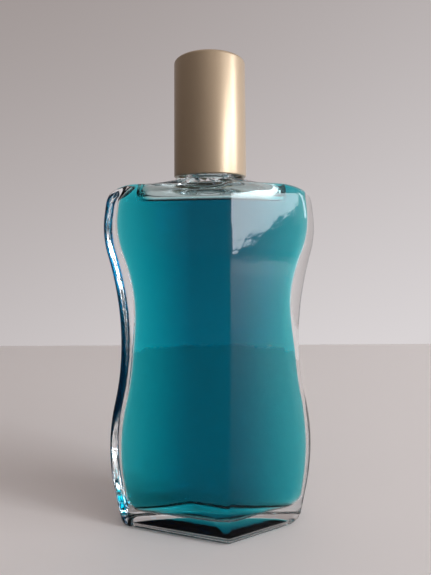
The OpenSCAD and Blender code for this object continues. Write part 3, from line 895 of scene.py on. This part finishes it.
def seal_liner(material):
    """The foam disc between the insert's roof and the flange, with its cut edge a little rounded."""
    r = LINER_EDGE_R
    profile = [(0, FLANGE_TOP_Z)]
    profile += round_edge(LINER_R - r, FLANGE_TOP_Z + r, r, -90, 0, TINY_ROUND_STEPS)
    profile += round_edge(LINER_R - r, LINER_TOP_Z - r, r, 0, 90, TINY_ROUND_STEPS)
    profile += [(0, LINER_TOP_Z)]
    return lathe("seal_liner_disc", profile, [material])


# ---------------------------------------------------------------- stage, lights and camera

# The table top, and the painted shade that mirrors show on it in front and on the left, away from the
# windows
TABLE = "#F0EBE8"
TABLE_PAINTED_SHADE_IN_GLOSS = "#302C2A"
TABLE_BRIGHT_SIDE = (0.86, 0.5, 0.0)
TABLE_DIM_FROM = -60
TABLE_DIM_TO = 160
TABLE_REACH = 1500
TABLE_BACK_Y = 233


def mirrored(tree):
    """1 for a ray that left its last surface as a mirror reflection, 0 for one that was refracted."""
    path = add(tree, "ShaderNodeLightPath").outputs
    return add(tree, "ShaderNodeMath", {
        0: path["Is Glossy Ray"], 1: path["Is Transmission Ray"],
    }, operation="SUBTRACT", use_clamp=True)


def stage():
    """A pale table top, whose back edge is the line behind the bottle; mirrors see painted shade on it in
    front and on the left.
    """
    table, tree, out = new_material("pale_table")
    place = add(tree, "ShaderNodeTexCoord").outputs["Object"]
    toward = add(tree, "ShaderNodeVectorMath", {0: place, 1: TABLE_BRIGHT_SIDE}, operation="DOT_PRODUCT")
    # Painted shade: mirrors see the table's colour darkened toward the front and left, away from the windows
    dim = add(tree, "ShaderNodeMapRange", {
        "Value": toward.outputs["Value"], "From Min": TABLE_DIM_FROM * MM, "From Max": TABLE_DIM_TO * MM,
        "To Min": 1.0, "To Max": 0.0,
    }, interpolation_type="SMOOTHSTEP")
    share = add(tree, "ShaderNodeMath", {0: mirrored(tree), 1: dim}, operation="MULTIPLY")
    tone = add(tree, "ShaderNodeMix", {
        MIX_FACTOR: share, MIX_COLOURS[0]: linear(TABLE), MIX_COLOURS[1]: linear(TABLE_PAINTED_SHADE_IN_GLOSS),
    }, data_type="RGBA")
    shader = add(tree, "ShaderNodeBsdfPrincipled", {
        "Base Color": tone.outputs[MIX_COLOUR_OUT], "Roughness": 0.6, "Specular IOR Level": 0.3,
    })
    tree.links.new(shader.outputs[0], out.inputs["Surface"])
    left, right, front, back = -TABLE_REACH, TABLE_REACH, -TABLE_REACH, TABLE_BACK_Y
    corners = [(left, front, 0), (right, front, 0), (right, back, 0), (left, back, 0)]
    mesh_object("floor", corners, [[0, 1, 2, 3]], [table])


# The room by direction: its paleness falls with height and rises toward +X
ROOM_HIGH = "#9F9694"
ROOM_LOW = "#D9D4D5"
ROOM_MIDDLE = 0.6
ROOM_FALL = -0.94
ROOM_TILT = 0.43
# Where mirrors see the room bright, and how dim they see it on the far side
GLOSS_SIDE = (0.85, 0.3, 0.75)
GLOSS_FROM = -0.7
GLOSS_TO = 0.75
GLOSS_DIM = 0.12


def world():
    """A pale room. Mirrors see it dim in front and on the left, so that panels and cap keep their depth."""
    made = bpy.data.worlds.new("room")
    bpy.context.scene.world = made
    made.use_nodes = True
    tree = made.node_tree
    tree.nodes.clear()
    out = add(tree, "ShaderNodeOutputWorld")
    way = add(tree, "ShaderNodeTexCoord").outputs["Generated"]
    part = add(tree, "ShaderNodeSeparateXYZ", {0: way}).outputs
    low = add(tree, "ShaderNodeMath", {0: part["Z"], 1: ROOM_FALL, 2: ROOM_MIDDLE}, operation="MULTIPLY_ADD")
    glow = add(tree, "ShaderNodeMath", {0: part["X"], 1: ROOM_TILT, 2: low}, operation="MULTIPLY_ADD")
    pale = add(tree, "ShaderNodeMix", {
        MIX_FACTOR: glow, MIX_COLOURS[0]: linear(ROOM_HIGH), MIX_COLOURS[1]: linear(ROOM_LOW),
    }, data_type="RGBA")
    toward = add(tree, "ShaderNodeVectorMath", {0: way, 1: GLOSS_SIDE}, operation="DOT_PRODUCT")
    gloss = add(tree, "ShaderNodeMapRange", {
        "Value": toward.outputs["Value"], "From Min": GLOSS_FROM, "From Max": GLOSS_TO,
        "To Min": GLOSS_DIM, "To Max": 1.0,
    }, interpolation_type="SMOOTHSTEP")
    strength = add(tree, "ShaderNodeMix", {
        MIX_FACTOR: mirrored(tree), MIX_NUMBERS[0]: 1.0, MIX_NUMBERS[1]: gloss,
    })
    light = add(tree, "ShaderNodeBackground", {"Color": pale.outputs[MIX_COLOUR_OUT], "Strength": strength})
    tree.links.new(light.outputs[0], out.inputs[0])


# Each window: its azimuth from the front toward +X, the height of its middle, its width and height, its
# radiance, its roll in degrees, and the rays that don't see it
WINDOW_COLOUR = "#F6FAFF"
WINDOW_DISTANCE = 1400
WINDOWS = {
    "window_right": (80, 560, 260, 700, 9.0, 0, ()),
    "window_front_right": (54, 337, 640, 330, 7.5, -35, ()),
    "window_soft": (70, 560, 300, 500, 24.0, 0, ("glossy", "transmission")),
    "window_back": (118, 700, 700, 900, 8.0, 0, ("glossy", "diffuse")),
    "window_high": (54, 1100, 640, 500, 0.6, 0, ("diffuse",)),
}


def windows():
    """Soft upright area lights, all at one distance."""
    for name, (azimuth, middle_z, width, height, radiance, roll, hidden_from) in WINDOWS.items():
        data = bpy.data.lights.new(name, "AREA")
        data.shape = "RECTANGLE"
        data.size = width * MM
        data.size_y = height * MM
        data.color = linear(WINDOW_COLOUR)[:3]
        data.energy = radiance * math.pi * data.size * data.size_y
        made = bpy.data.objects.new(name, data)
        bpy.context.scene.collection.objects.link(made)
        a = math.radians(azimuth)
        made.location = (
            WINDOW_DISTANCE * MM * math.sin(a), -WINDOW_DISTANCE * MM * math.cos(a), middle_z * MM,
        )
        made.rotation_euler = (math.radians(90), math.radians(roll), a)
        made.visible_camera = False
        for rays in hidden_from:
            setattr(made, f"visible_{rays}", False)


CAMERA_PLACE = (1.68, -144.4, 107.1)
CAMERA_DOWN = 7.96
CAMERA_ROLL = 0.005
FOCAL_LENGTH = 26.0
SENSOR_W = 36.0


def camera():
    """The camera, held close in front of the bottle's upper part and looking slightly down."""
    data = bpy.data.cameras.new("camera")
    data.lens = FOCAL_LENGTH
    data.sensor_width = SENSOR_W
    made = bpy.data.objects.new("camera", data)
    bpy.context.scene.collection.objects.link(made)
    made.location = [v * MM for v in CAMERA_PLACE]
    made.rotation_euler = (math.radians(90 - CAMERA_DOWN), CAMERA_ROLL, 0)
    bpy.context.scene.camera = made


def build():
    """Make every piece and hang it on its body."""
    thread = thread_tree()
    ribs = rib_tree()
    outer = flint_glass("flint_glass", GLASS_IOR, OUTER_WAVE)
    wetted = flint_glass("flint_glass_wetted", GLASS_IOR / LOTION_IOR, INNER_WAVE)
    plug_plastic = moulded_plastic("natural_ldpe", "#E9ECEA", 0.42, 0.3, 0.6)
    liner_foam = moulded_plastic("foamed_polyethylene", "#F4F4F0", 0.7, 0.2, 0.15)
    insert_plastic = moulded_plastic("ivory_polypropylene", "#E4DCCB", 0.38, 0.1, 0.5)
    pieces = (
        (glass_bottle(outer, wetted, thread), "bottle", "glass_bottle", "glass"),
        (lotion_body(teal_lotion()), "bottle", "lotion", "lotion"),
        (pour_plug(plug_plastic), "bottle", "pour_plug", "plug_plastic"),
        (seal_liner(liner_foam), "liner", "seal_liner", "liner_foam"),
        (cap_insert(insert_plastic, thread, ribs), "cap", "cap_insert", "insert_plastic"),
        (cap_shell(champagne_lacquer()), "cap", "cap_shell", "cap_lacquer"),
    )
    for made, body, node, slot in pieces:
        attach(made, body)
        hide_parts(node)


CLEAR_BOUNCES = 32
MIRROR_BOUNCES = 16


def render_look():
    """Colours as written, and enough bounces for light to cross glass, lotion and glass again."""
    scene = bpy.context.scene
    scene.view_settings.view_transform = "Standard"
    scene.cycles.max_bounces = CLEAR_BOUNCES
    scene.cycles.transmission_bounces = CLEAR_BOUNCES
    scene.cycles.glossy_bounces = MIRROR_BOUNCES


camera()
build()
stage()
world()
windows()
render_look()
